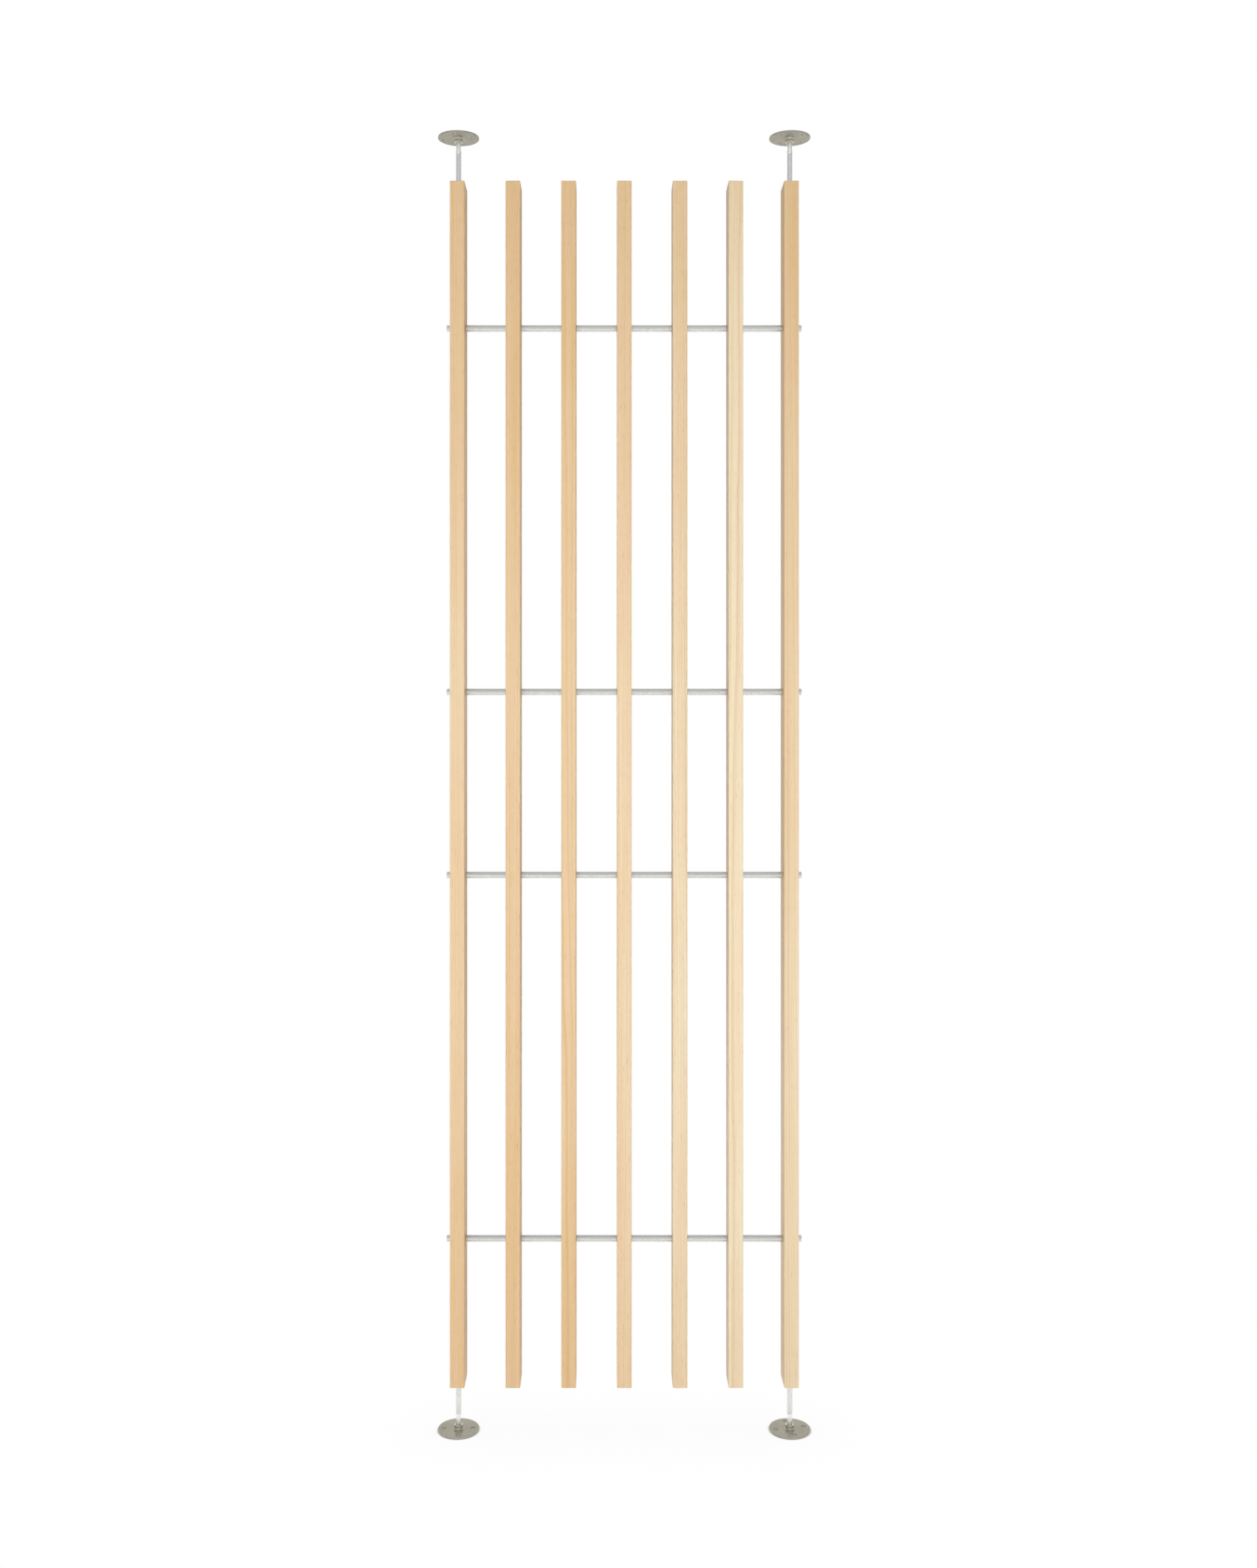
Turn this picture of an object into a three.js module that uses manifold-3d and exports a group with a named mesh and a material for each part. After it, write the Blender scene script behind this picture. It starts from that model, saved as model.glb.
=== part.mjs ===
// A floor-to-ceiling slatted screen: upright wooden slats strung on level tie rods, with spacer tubes
// in the gaps, held upright by a screw foot at each end of the two outer slats.
// Millimetres, +Z up, front towards -Y. The origin is on the floor, midway between the two feet.

import * as THREE from "three";
import { mergeVertices } from "three/addons/utils/BufferGeometryUtils.js";
import Module from "manifold-3d";

const wasm = await Module();
wasm.setup();

// Clearances between separate pieces
const FIT_GAP = 0.3; // all round a pin in its bore, and at the end of a blind bore
const SEAT_GAP = 0.1; // between two flat faces that are clamped together

// Slats
const SLAT_COUNT = 7;
const SLAT_WIDTH = 27;
const SLAT_DEPTH = 60;
const SLAT_LENGTH = 2220;
const SLAT_SPACING = 75.5; // clear gap from one slat to the next
const SLAT_EDGE_RADIUS = 2;
const SLAT_END_CHAMFER = 1;

// Level rows that hold the slats together
const INNER_ROW_OFFSET = 170; // from mid-height to each of the two middle rows
const OUTER_ROW_OFFSET = 845; // from mid-height to the top and bottom rows
const TIE_ROD_DIAMETER = 8;
const SPACER_DIAMETER = 12;
const CAP_DIAMETER = 12;
const CAP_LENGTH = 8;
const CAP_END_WALL = 2;
const CAP_CHAMFER = 0.8;

// Screw feet
const FOOT_STANDOFF = 90; // from the slat's end to the outer face of the plate
const PLATE_DIAMETER = 76;
const PLATE_THICKNESS = 3;
const PLATE_CHAMFER = 0.6;
const HUB_DIAMETER = 16;
const HUB_HEIGHT = 10; // from the plate's outer face
const HUB_FLOOR = 4; // material left between the socket and the outer face
const HUB_FILLET = 1.5;
const HUB_CHAMFER = 0.6;
const FIXING_HOLE_COUNT = 4;
const FIXING_CIRCLE_DIAMETER = 54;
const FIXING_HOLE_DIAMETER = 4.8;
const FIXING_SINK_DIAMETER = 9;

// Spindles and the screws that hold the plates on them
const SPINDLE_DIAMETER = 10;
const SPINDLE_GRIP = 70; // length inside the slat at rest
const SPINDLE_CHAMFER = 1;
const RETRACT_TRAVEL = 50; // how much further the spindle can go into the slat
const JOURNAL_DIAMETER = 8;
const JOURNAL_CHAMFER = 0.5;
const FLATS_WIDTH = 8; // across the two spanner flats
const FLATS_LENGTH = 12;
const FLATS_START = 4; // above the hub
const SCREW_DIAMETER = 5;
const SCREW_HEAD_DIAMETER = 10;
const SCREW_LENGTH = 14;

// Threaded inserts
const INSERT_DIAMETER = 16;
const INSERT_LENGTH = 25; // under the flange
const INSERT_FLANGE_DIAMETER = 21;
const INSERT_FLANGE_THICKNESS = 2;

// Where each foot stands and how far its plate is turned about the spindle, in degrees from above
const FEET = [
    { name: "top_left", side: -1, top: true, turn: -10 },
    { name: "top_right", side: 1, top: true, turn: 40 },
    { name: "bottom_left", side: -1, top: false, turn: 2 },
    { name: "bottom_right", side: 1, top: false, turn: 12.5 },
];

// Facets round each kind of circle
const PLATE_FACETS = 32;
const TURNED_FACETS = 16;
const TUBE_FACETS = 12;
const BORE_FACETS = 10;
const ARC_STEPS = 2;

const PITCH = SLAT_WIDTH + SLAT_SPACING;
const OUTER_SLAT_X = PITCH * (SLAT_COUNT - 1) / 2;
const OUTER_FACE_X = OUTER_SLAT_X + SLAT_WIDTH / 2;
const OVERALL_HEIGHT = SLAT_LENGTH + 2 * FOOT_STANDOFF;
const ROW_OFFSETS = [-OUTER_ROW_OFFSET, -INNER_ROW_OFFSET, INNER_ROW_OFFSET, OUTER_ROW_OFFSET];
const TIE_BORE_RADIUS = TIE_ROD_DIAMETER / 2 + FIT_GAP;
const CUT_MARGIN = 1; // how far a cutting tool stands out of the face that it enters

const WOOD = new THREE.MeshStandardMaterial({ color: 0xe6c99f, roughness: 0.55, metalness: 0 });
const STEEL = new THREE.MeshStandardMaterial({ color: 0xd2d2ce, roughness: 0.25, metalness: 1 });
const PLATE_STEEL = new THREE.MeshStandardMaterial({ color: 0xb4b2a6, roughness: 0.32, metalness: 1 });
const ZINC = new THREE.MeshStandardMaterial({ color: 0xb9bcbd, roughness: 0.4, metalness: 1 });

// A closed solid from a three.js geometry. Only positions are kept, so that shared corners merge,
// and the slivers that a revolve leaves on its axis are dropped.
function solidFrom(geometry) {
    geometry.deleteAttribute("normal");
    geometry.deleteAttribute("uv");
    const merged = mergeVertices(geometry, 1e-4);
    const corners = merged.index.array;
    const kept = [];
    for (let i = 0; i < corners.length; i += 3) {
        const [a, b, c] = corners.slice(i, i + 3);
        if (a !== b && b !== c && c !== a) kept.push(a, b, c);
    }
    return new wasm.Manifold(new wasm.Mesh({
        numProp: 3,
        vertProperties: new Float32Array(merged.attributes.position.array),
        triVerts: new Uint32Array(kept),
    }));
}

function geometryFrom(solid) {
    const mesh = solid.getMesh();
    const geometry = new THREE.BufferGeometry();
    geometry.setAttribute("position", new THREE.BufferAttribute(mesh.vertProperties, 3));
    geometry.setIndex(new THREE.BufferAttribute(mesh.triVerts, 1));
    geometry.computeVertexNormals();
    return geometry;
}

function pieceOf(name, geometry, material) {
    const piece = new THREE.Mesh(geometry, material);
    piece.name = name;
    return piece;
}

// A solid of revolution about Z. The outline is a list of [radius, height] corners, going round the
// material with the axis on the left of its way up, and starts and ends on the axis or closes.
function revolve(outline, facets) {
    const corners = outline.map(([radius, height]) => new THREE.Vector2(radius, height));
    return solidFrom(new THREE.LatheGeometry(corners, facets).rotateX(Math.PI / 2));
}

// The corners of a quarter circle about a centre, from one angle to another, in degrees.
function arc(centre, radius, from, to) {
    const steps = Array.from({ length: ARC_STEPS + 1 }, (_, i) => from + (to - from) * i / ARC_STEPS);
    return steps.map((angle) => {
        const radians = THREE.MathUtils.degToRad(angle);
        return [centre[0] + radius * Math.cos(radians), centre[1] + radius * Math.sin(radians)];
    });
}

// ---- Slats ----

function slatBlank() {
    const halfWidth = SLAT_WIDTH / 2;
    const halfDepth = SLAT_DEPTH / 2;
    const r = SLAT_EDGE_RADIUS;
    const section = new THREE.Shape();
    section.absarc(halfWidth - r, halfDepth - r, r, 0, Math.PI / 2);
    section.absarc(-halfWidth + r, halfDepth - r, r, Math.PI / 2, Math.PI);
    section.absarc(-halfWidth + r, -halfDepth + r, r, Math.PI, Math.PI * 1.5);
    section.absarc(halfWidth - r, -halfDepth + r, r, Math.PI * 1.5, Math.PI * 2);
    const length = SLAT_LENGTH - 2 * SLAT_END_CHAMFER;
    const blank = new THREE.ExtrudeGeometry(section, {
        depth: length,
        curveSegments: ARC_STEPS,
        bevelThickness: SLAT_END_CHAMFER,
        bevelSize: SLAT_END_CHAMFER,
        bevelOffset: -SLAT_END_CHAMFER,
        bevelSegments: 1,
    });
    return solidFrom(blank.translate(0, 0, -length / 2));
}

function crossBore(height) {
    const drill = new THREE.CylinderGeometry(
        TIE_BORE_RADIUS, TIE_BORE_RADIUS, SLAT_WIDTH + 2 * CUT_MARGIN, BORE_FACETS);
    return solidFrom(drill.rotateZ(Math.PI / 2).translate(0, 0, height));
}

// The stepped bore in a slat's end: a seat for the insert's flange, a bore for its body, and a
// clearance bore that the spindle runs into. It is cut downwards from the end face at height 0.
function endBore() {
    const flange = INSERT_FLANGE_DIAMETER / 2 + FIT_GAP;
    const body = INSERT_DIAMETER / 2 + FIT_GAP;
    const run = SPINDLE_DIAMETER / 2 + 2 * FIT_GAP;
    const seat = -(INSERT_FLANGE_THICKNESS + SEAT_GAP);
    const bodyEnd = seat - INSERT_LENGTH - FIT_GAP;
    const bottom = -(SPINDLE_GRIP + RETRACT_TRAVEL + SPINDLE_DIAMETER / 2);
    return revolve([
        [0, bottom], [run, bottom], [run, bodyEnd], [body, bodyEnd],
        [body, seat], [flange, seat], [flange, CUT_MARGIN], [0, CUT_MARGIN],
    ], TURNED_FACETS);
}

// The middle of the slat is at height 0.
function slatGeometries() {
    const inner = ROW_OFFSETS.reduce((slat, offset) => slat.subtract(crossBore(offset)), slatBlank());
    const outer = inner
        .subtract(endBore().translate(0, 0, SLAT_LENGTH / 2))
        .subtract(endBore().rotate(180, 0, 0).translate(0, 0, -SLAT_LENGTH / 2));
    return { inner: geometryFrom(inner), outer: geometryFrom(outer) };
}

function slatX(index) {
    return index * PITCH - OUTER_SLAT_X;
}

function slats() {
    const { inner, outer } = slatGeometries();
    const row = new THREE.Group();
    for (let i = 0; i < SLAT_COUNT; i += 1) {
        const isOuter = i === 0 || i === SLAT_COUNT - 1;
        const slat = pieceOf(`slat_${i + 1}`, isOuter ? outer : inner, WOOD);
        slat.position.x = slatX(i);
        row.add(slat);
    }
    return row;
}

// ---- Rows: a tie rod, a spacer tube in each gap, and a cap nut at each end ----

function tieRodGeometry() {
    const length = 2 * (OUTER_FACE_X + SEAT_GAP + CAP_LENGTH - CAP_END_WALL - FIT_GAP);
    const radius = TIE_ROD_DIAMETER / 2;
    const rod = new THREE.CylinderGeometry(radius, radius, length, TUBE_FACETS);
    return geometryFrom(solidFrom(rod.rotateZ(Math.PI / 2)));
}

// A tube along X, centred on its gap.
function spacerGeometry() {
    const outer = SPACER_DIAMETER / 2;
    const half = SLAT_SPACING / 2 - SEAT_GAP;
    const tube = revolve([
        [TIE_BORE_RADIUS, -half], [outer, -half], [outer, half], [TIE_BORE_RADIUS, half],
        [TIE_BORE_RADIUS, -half],
    ], TUBE_FACETS);
    return geometryFrom(tube.rotate(0, 90, 0));
}

// The nut's open end is at the origin and its closed end points along +X.
function capNutGeometry() {
    const outer = CAP_DIAMETER / 2;
    const boreEnd = CAP_LENGTH - CAP_END_WALL;
    const nut = revolve([
        [0, boreEnd], [TIE_BORE_RADIUS, boreEnd], [TIE_BORE_RADIUS, 0], [outer, 0],
        [outer, CAP_LENGTH - CAP_CHAMFER], [outer - CAP_CHAMFER, CAP_LENGTH], [0, CAP_LENGTH],
    ], TUBE_FACETS);
    return geometryFrom(nut.rotate(0, 90, 0));
}

function rows() {
    const tieRod = tieRodGeometry();
    const spacer = spacerGeometry();
    const capNut = capNutGeometry();
    const all = new THREE.Group();
    ROW_OFFSETS.forEach((offset, index) => {
        const row = new THREE.Group();
        const number = index + 1;
        row.position.z = offset;
        row.add(pieceOf(`tie_rod_${number}`, tieRod, ZINC));
        for (let gap = 1; gap < SLAT_COUNT; gap += 1) {
            const tube = pieceOf(`row_${number}_spacer_${gap}`, spacer, STEEL);
            tube.position.x = (slatX(gap - 1) + slatX(gap)) / 2;
            row.add(tube);
        }
        for (const [side, sign] of [["left", -1], ["right", 1]]) {
            const nut = pieceOf(`row_${number}_cap_nut_${side}`, capNut, STEEL);
            nut.position.x = sign * (OUTER_FACE_X + SEAT_GAP);
            nut.rotation.z = sign < 0 ? Math.PI : 0;
            row.add(nut);
        }
        all.add(row);
    });
    return all;
}

// ---- Feet: each is drawn upright, with the plate's outer face at height 0 and the slat above ----

function plateBlank() {
    const rim = PLATE_DIAMETER / 2;
    const hub = HUB_DIAMETER / 2;
    const socket = JOURNAL_DIAMETER / 2 + FIT_GAP;
    const hole = SCREW_DIAMETER / 2 + FIT_GAP;
    const sink = SCREW_HEAD_DIAMETER / 2 + FIT_GAP;
    const fillet = arc([hub + HUB_FILLET, PLATE_THICKNESS + HUB_FILLET], HUB_FILLET, 270, 180);
    return revolve([
        [hole, sink - hole], [sink, 0],
        [rim - PLATE_CHAMFER, 0], [rim, PLATE_CHAMFER],
        [rim, PLATE_THICKNESS - PLATE_CHAMFER], [rim - PLATE_CHAMFER, PLATE_THICKNESS],
        ...fillet,
        [hub, HUB_HEIGHT - HUB_CHAMFER], [hub - HUB_CHAMFER, HUB_HEIGHT],
        [socket, HUB_HEIGHT], [socket, HUB_FLOOR], [hole, HUB_FLOOR],
        [hole, sink - hole],
    ], PLATE_FACETS);
}

// A countersunk hole for a screw that fixes the plate to the floor or ceiling.
function fixingHole(index) {
    const hole = FIXING_HOLE_DIAMETER / 2;
    const sink = FIXING_SINK_DIAMETER / 2;
    const sinkStart = PLATE_THICKNESS - (sink - hole);
    const drill = revolve([
        [0, -CUT_MARGIN], [hole, -CUT_MARGIN], [hole, sinkStart], [sink, PLATE_THICKNESS],
        [sink, PLATE_THICKNESS + CUT_MARGIN], [0, PLATE_THICKNESS + CUT_MARGIN],
    ], BORE_FACETS);
    return drill
        .translate(FIXING_CIRCLE_DIAMETER / 2, 0, 0)
        .rotate(0, 0, 360 * index / FIXING_HOLE_COUNT);
}

function plateGeometry() {
    let plate = plateBlank();
    for (let i = 0; i < FIXING_HOLE_COUNT; i += 1) {
        plate = plate.subtract(fixingHole(i));
    }
    return geometryFrom(plate);
}

// Two flats across the spindle, just above the hub, for an open spanner.
function spannerFlats() {
    const width = SPINDLE_DIAMETER;
    const start = HUB_HEIGHT + FLATS_START;
    const cutter = (side) => solidFrom(
        new THREE.BoxGeometry(width, 2 * width, FLATS_LENGTH)
            .translate(side * (FLATS_WIDTH + width) / 2, 0, start + FLATS_LENGTH / 2));
    return cutter(1).add(cutter(-1));
}

function spindleGeometry() {
    const thread = SPINDLE_DIAMETER / 2;
    const journal = JOURNAL_DIAMETER / 2;
    const tapped = SCREW_DIAMETER / 2 + FIT_GAP;
    const end = HUB_FLOOR + FIT_GAP;
    const shoulder = HUB_HEIGHT + FIT_GAP;
    const tip = FOOT_STANDOFF + SPINDLE_GRIP;
    const blank = revolve([
        [0, SCREW_LENGTH + SCREW_DIAMETER / 2], [tapped, SCREW_LENGTH], [tapped, end],
        [journal - JOURNAL_CHAMFER, end], [journal, end + JOURNAL_CHAMFER],
        [journal, shoulder], [thread, shoulder],
        [thread, tip - SPINDLE_CHAMFER], [thread - SPINDLE_CHAMFER, tip], [0, tip],
    ], TURNED_FACETS);
    return geometryFrom(blank.subtract(spannerFlats()));
}

function plateScrewGeometry() {
    const shank = SCREW_DIAMETER / 2;
    const head = SCREW_HEAD_DIAMETER / 2;
    return geometryFrom(revolve([
        [0, 0], [head, 0], [shank, head - shank], [shank, SCREW_LENGTH - FIT_GAP],
        [0, SCREW_LENGTH - FIT_GAP],
    ], TUBE_FACETS));
}

// The insert is drawn where it sits, with its flange flush with the slat's end.
function insertGeometry() {
    const bore = SPINDLE_DIAMETER / 2 + FIT_GAP;
    const body = INSERT_DIAMETER / 2;
    const flange = INSERT_FLANGE_DIAMETER / 2;
    const seat = FOOT_STANDOFF + INSERT_FLANGE_THICKNESS;
    return geometryFrom(revolve([
        [bore, FOOT_STANDOFF], [flange, FOOT_STANDOFF], [flange, seat], [body, seat],
        [body, seat + INSERT_LENGTH], [bore, seat + INSERT_LENGTH], [bore, FOOT_STANDOFF],
    ], TURNED_FACETS));
}

function feet() {
    const plate = plateGeometry();
    const spindle = spindleGeometry();
    const plateScrew = plateScrewGeometry();
    const insert = insertGeometry();
    const all = new THREE.Group();
    for (const { name, side, top, turn } of FEET) {
        const foot = new THREE.Group();
        foot.position.set(side * OUTER_SLAT_X, 0, top ? OVERALL_HEIGHT : 0);
        foot.rotation.x = top ? Math.PI : 0;
        const disc = pieceOf(`plate_${name}`, plate, PLATE_STEEL);
        disc.rotation.z = THREE.MathUtils.degToRad(top ? -turn : turn);
        foot.add(
            disc,
            pieceOf(`spindle_${name}`, spindle, STEEL),
            pieceOf(`plate_screw_${name}`, plateScrew, ZINC),
            pieceOf(`insert_${name}`, insert, ZINC));
        all.add(foot);
    }
    return all;
}

const screen = new THREE.Group();
const frame = new THREE.Group();
frame.position.z = OVERALL_HEIGHT / 2;
frame.add(slats(), rows());
screen.add(frame, feet());

export default screen;
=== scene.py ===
"""Looks for a floor-to-ceiling slatted screen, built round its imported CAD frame.

Metres, +Z up, front towards -Y, origin on the floor midway between the bottom feet. Sizes that
the part has are repeated below, and each piece takes its place from the boxes of the CAD nodes.
"""

import math

import bpy
from mathutils import Matrix, Vector

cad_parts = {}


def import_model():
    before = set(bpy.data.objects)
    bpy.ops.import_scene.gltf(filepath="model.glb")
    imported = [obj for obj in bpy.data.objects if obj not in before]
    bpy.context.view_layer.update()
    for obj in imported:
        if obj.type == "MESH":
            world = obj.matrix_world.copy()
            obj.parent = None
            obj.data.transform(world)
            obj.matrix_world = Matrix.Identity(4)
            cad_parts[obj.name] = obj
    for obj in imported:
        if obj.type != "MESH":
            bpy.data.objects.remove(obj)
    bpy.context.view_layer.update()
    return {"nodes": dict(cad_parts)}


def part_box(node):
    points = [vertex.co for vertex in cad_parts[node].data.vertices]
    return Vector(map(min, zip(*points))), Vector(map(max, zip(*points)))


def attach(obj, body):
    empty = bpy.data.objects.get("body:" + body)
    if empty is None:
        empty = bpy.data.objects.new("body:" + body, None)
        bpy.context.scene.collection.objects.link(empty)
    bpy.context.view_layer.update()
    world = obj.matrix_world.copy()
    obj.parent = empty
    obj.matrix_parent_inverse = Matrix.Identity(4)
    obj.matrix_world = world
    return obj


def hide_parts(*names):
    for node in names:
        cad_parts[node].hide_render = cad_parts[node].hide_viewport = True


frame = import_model()

MM = 0.001

# Clearances between separate pieces
FIT_GAP = 0.3 * MM  # all round a pin in its bore, and at the end of a blind bore
SEAT_GAP = 0.1 * MM  # between two flat faces that are clamped together
CUT_MARGIN = 1.0 * MM  # how far a cutting tool stands out of the face that it enters

# Slats
SLAT_COUNT = 7
SLAT_EDGE_RADIUS = 2.0 * MM
SLAT_END_RADIUS = 1.0 * MM
EDGE_STEPS = 6
END_STEPS = 4

# Rows of bars
ROW_COUNT = 4
TIE_ROD_RADIUS = 4.0 * MM
TIE_BORE_RADIUS = TIE_ROD_RADIUS + FIT_GAP
SPACER_RADIUS = 6.0 * MM
SPACER_EDGE = 0.3 * MM
CAP_LENGTH = 8.0 * MM
CAP_END_WALL = 2.0 * MM
CAP_CHAMFER = 0.8 * MM
CAP_SOCKET_WIDTH = 5.0 * MM
CAP_SOCKET_DEPTH = 1.5 * MM

# Screws that hold the plates
SCREW_RADIUS = 2.5 * MM
SCREW_HEAD_RADIUS = 5.0 * MM
SCREW_HEAD_EDGE = 0.2 * MM
SCREW_PITCH = 0.8 * MM
SCREW_LENGTH = 14.0 * MM
SCREW_END = SCREW_LENGTH - FIT_GAP
SCREW_THREAD_START = 4.4 * MM
SCREW_THREAD_LEAD = 0.1 * MM  # plain shank just before the thread
SCREW_THREAD_STOP = 0.5 * MM  # before the screw's end
SCREW_TIP_CHAMFER = 0.3 * MM
SCREW_SOCKET_WIDTH = 3.0 * MM
SCREW_SOCKET_DEPTH = 1.9 * MM

# Plates, with heights from the outer face
PLATE_RADIUS = 38.0 * MM
PLATE_THICKNESS = 3.0 * MM
PLATE_CHAMFER = 0.6 * MM
HUB_RADIUS = 8.0 * MM
HUB_HEIGHT = 10.0 * MM
HUB_FLOOR = 4.0 * MM
HUB_FILLET = 1.5 * MM
HUB_CHAMFER = 0.6 * MM
SCREW_BORE_RADIUS = SCREW_RADIUS + FIT_GAP
SCREW_SINK_RADIUS = SCREW_HEAD_RADIUS + FIT_GAP
FIXING_COUNT = 4
FIXING_CIRCLE_RADIUS = 27.0 * MM
FIXING_HOLE_RADIUS = 2.4 * MM
FIXING_SINK_RADIUS = 4.5 * MM

# How far each plate is turned about its spindle, in degrees as seen from above
PLATE_TURNS = {"top_left": -10.0, "top_right": 40.0, "bottom_left": 2.0, "bottom_right": 12.5}

# Spindles, with heights from the plate's outer face
FOOT_STANDOFF = 90.0 * MM
SPINDLE_RADIUS = 5.0 * MM
SPINDLE_PITCH = 1.5 * MM
SPINDLE_GRIP = 70.0 * MM
SPINDLE_TIP = FOOT_STANDOFF + SPINDLE_GRIP
RETRACT_TRAVEL = 50.0 * MM
JOURNAL_RADIUS = 4.0 * MM
JOURNAL_CHAMFER = 0.5 * MM
JOURNAL_START = HUB_FLOOR + FIT_GAP
JOURNAL_SOCKET_RADIUS = JOURNAL_RADIUS + FIT_GAP
JOURNAL_SOCKET_EDGE = 0.3 * MM
SHOULDER = HUB_HEIGHT + FIT_GAP
SHOULDER_CHAMFER = 0.3 * MM
FLATS_START = HUB_HEIGHT + 4.0 * MM
FLATS_LENGTH = 12.0 * MM
FLATS_WIDTH = 8.0 * MM
THREAD_START = 28.5 * MM
THREAD_LEAD = 0.2 * MM  # plain shank just before the thread
THREAD_STOP = 0.9 * MM  # before the spindle's tip
TIP_EASE = 0.3 * MM
TIP_CHAMFER = 0.5 * MM

# Inserts, and the stepped bores in the slats' ends
INSERT_RADIUS = 8.0 * MM
INSERT_LENGTH = 25.0 * MM
INSERT_EDGE = 0.4 * MM
INSERT_FLANGE_RADIUS = 10.5 * MM
INSERT_FLANGE_THICKNESS = 2.0 * MM
INSERT_BORE_RADIUS = SPINDLE_RADIUS + FIT_GAP
SPINDLE_RUN_RADIUS = SPINDLE_RADIUS + 2 * FIT_GAP
SPINDLE_RUN_SPARE = 5.0 * MM  # left beyond the spindle's tip when it is screwed right in
SPINDLE_RUN_DEPTH = SPINDLE_GRIP + RETRACT_TRAVEL + SPINDLE_RUN_SPARE

# Shape of a metric thread, in shares of its pitch: how deep it is, and how wide its parts are
THREAD_DEPTH = 0.6134
THREAD_ROOT = 1 / 4
THREAD_CREST = 1 / 8
THREAD_FLANK = (1 - THREAD_ROOT - THREAD_CREST) / 2

# Sides of each kind of circle
TIE_BORE_SIDES = 40
END_BORE_SIDES = 48
ROW_SIDES = 48
PLATE_SIDES = 128
FIXING_SIDES = 36
SPINDLE_SIDES = 36
SCREW_SIDES = 24
INSERT_SIDES = 64

# Steps of the arcs in outlines
CAP_ROUNDING_STEPS = 6
PLATE_ROUNDING_STEPS = 4
HUB_FILLET_STEPS = 8

SMOOTH_ANGLE = math.radians(32)


# ---- Meshes ----

def as_object(name, points, faces):
    mesh = bpy.data.meshes.new(name)
    mesh.from_pydata([tuple(point) for point in points], [], faces)
    mesh.validate()
    piece = bpy.data.objects.new(name, mesh)
    bpy.context.scene.collection.objects.link(piece)
    return piece


def ring_of(radius, height, count):
    step = 2 * math.pi / count
    return [
        (radius * math.cos(step * i), radius * math.sin(step * i), height) for i in range(count)
    ]


def arc(centre, radius, start, end, steps):
    """Points (radius, height) on an arc, with the angles in degrees."""
    angles = [math.radians(start + (end - start) * i / steps) for i in range(steps + 1)]
    return [
        (centre[0] + radius * math.cos(a), centre[1] + radius * math.sin(a)) for a in angles
    ]


def hexagon(across_flats):
    radius = across_flats / math.sqrt(3)
    return [point[:2] for point in ring_of(radius, 0, 6)]


def band(low, high):
    """Faces between two rings of as many points. A ring may be one point, repeated."""
    faces = []
    for i in range(len(low)):
        j = (i + 1) % len(low)
        corners = dict.fromkeys((low[i], low[j], high[j], high[i]))
        if len(corners) > 2:
            faces.append(tuple(corners))
    return faces


def revolve(name, outline, count):
    """A closed solid about Z from a closed outline of (radius, height), material on its left."""
    points, rings, faces = [], [], []
    for radius, height in outline:
        start = len(points)
        if radius == 0:
            points.append((0, 0, height))
            rings.append([start] * count)
        else:
            points += ring_of(radius, height, count)
            rings.append(list(range(start, start + count)))
    for low, high in zip(rings, rings[1:] + rings[:1]):
        faces += band(low, high)
    return as_object(name, points, faces)


def prism(name, corners, low, high):
    """A closed prism along Z over corners (x, y), given counter-clockwise."""
    count = len(corners)
    points = [(x, y, low) for x, y in corners] + [(x, y, high) for x, y in corners]
    foot, head = list(range(count)), list(range(count, 2 * count))
    return as_object(name, points, [tuple(reversed(foot)), tuple(head), *band(foot, head)])


def applied(piece):
    """Puts the result of the piece's modifiers into its mesh."""
    graph = bpy.context.evaluated_depsgraph_get()
    mesh = bpy.data.meshes.new_from_object(piece.evaluated_get(graph))
    piece.modifiers.clear()
    old, piece.data = piece.data, mesh
    mesh.name = piece.name
    bpy.data.meshes.remove(old)
    return piece


def cut(piece, *cutters):
    """Cuts other objects out of the piece and deletes them."""
    for cutter in cutters:
        modifier = piece.modifiers.new("cut", "BOOLEAN")
        modifier.operation = "DIFFERENCE"
        modifier.solver = "EXACT"
        modifier.object = cutter
    applied(piece)
    for cutter in cutters:
        mesh = cutter.data
        bpy.data.objects.remove(cutter)
        bpy.data.meshes.remove(mesh)
    return piece


def finished(piece):
    """Smooths round faces, keeps flat ones flat and real edges crisp."""
    piece.data.shade_smooth()
    piece.data.set_sharp_from_angle(angle=SMOOTH_ANGLE)
    modifier = piece.modifiers.new("normals", "WEIGHTED_NORMAL")
    modifier.keep_sharp = True
    return applied(piece)


def placed(piece, matrix):
    piece.matrix_world = matrix
    return piece


def copied(piece, name):
    other = bpy.data.objects.new(name, piece.data)
    bpy.context.scene.collection.objects.link(other)
    return other


def middle(node):
    low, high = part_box(node)
    return (low + high) / 2


# ---- Slats ----

def slat_section(half_x, half_y, radius):
    """A rounded rectangle as (x, y) points, counter-clockwise."""
    points = []
    for sign_x, sign_y, start in ((1, 1, 0), (-1, 1, 90), (-1, -1, 180), (1, -1, 270)):
        centre = (sign_x * (half_x - radius), sign_y * (half_y - radius))
        points += arc(centre, radius, start, start + 90, EDGE_STEPS)
    return points


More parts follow.
